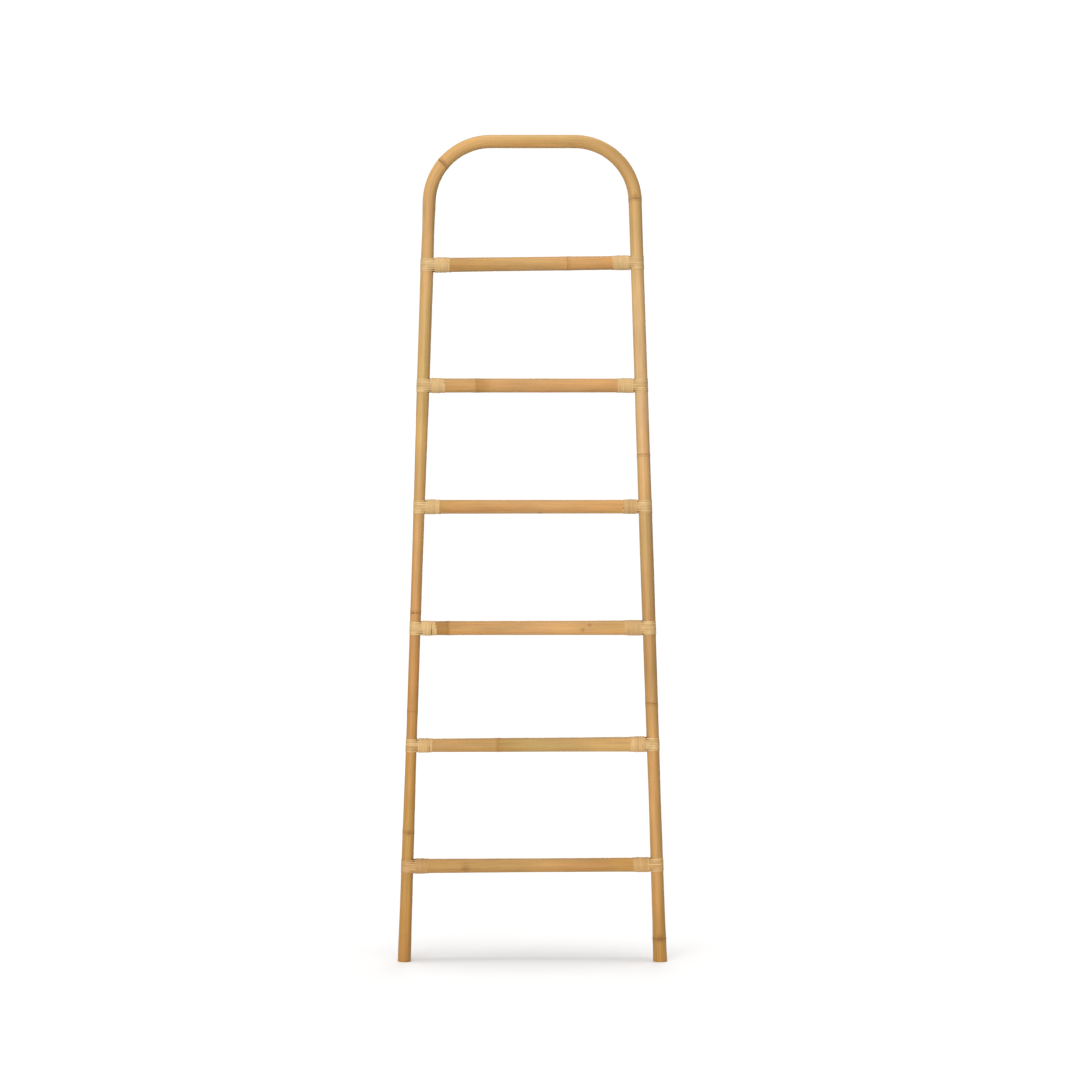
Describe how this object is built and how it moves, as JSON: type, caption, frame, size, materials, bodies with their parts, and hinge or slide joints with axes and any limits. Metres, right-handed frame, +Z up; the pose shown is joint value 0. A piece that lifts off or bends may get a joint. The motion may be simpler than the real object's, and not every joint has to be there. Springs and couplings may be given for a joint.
{
  "type": "blanket ladder",
  "caption": "Rattan ladder rack: a bent cane hoop with splayed sides and round rungs, bound at every joint with flat peel, for leaning on a wall and hanging quilts.",
  "frame": {"origin": "on the floor, midway between the centres of the two feet", "axes": "+X along the rungs to the viewer's right, +Y from the front to the wall side, +Z up; the front faces -Y"},
  "size_m": [0.5869, 0.0354, 1.8],
  "materials": {
    "cane_hoop": "satin, rattan pole with its skin on",
    "cane_rung": "satin, rattan pole with its skin on",
    "cane_peel": "satin, flat strips of rattan skin",
    "screw_steel": "zinc-plated steel",
    "brad_steel": "dull dark steel"
  },
  "bodies": {
    "root": {"hoop_pole": "cane_hoop", "rung_1": "cane_rung", "rung_2": "cane_rung", "rung_3": "cane_rung", "rung_4": "cane_rung", "rung_5": "cane_rung", "rung_6": "cane_rung", "frame_screws": "screw_steel", "peel_saddle_left_1": "cane_peel", "peel_winding_left_1": "cane_peel", "peel_saddle_right_1": "cane_peel", "peel_winding_right_1": "cane_peel", "peel_saddle_left_2": "cane_peel", "peel_winding_left_2": "cane_peel", "peel_saddle_right_2": "cane_peel", "peel_winding_right_2": "cane_peel", "peel_saddle_left_3": "cane_peel", "peel_winding_left_3": "cane_peel", "peel_saddle_right_3": "cane_peel", "peel_winding_right_3": "cane_peel", "peel_saddle_left_4": "cane_peel", "peel_winding_left_4": "cane_peel", "peel_saddle_right_4": "cane_peel", "peel_winding_right_4": "cane_peel", "peel_saddle_left_5": "cane_peel", "peel_winding_left_5": "cane_peel", "peel_saddle_right_5": "cane_peel", "peel_winding_right_5": "cane_peel", "peel_saddle_left_6": "cane_peel", "peel_winding_left_6": "cane_peel", "peel_saddle_right_6": "cane_peel", "peel_winding_right_6": "cane_peel", "binding_brads": "brad_steel"}
  },
  "joints": []
}
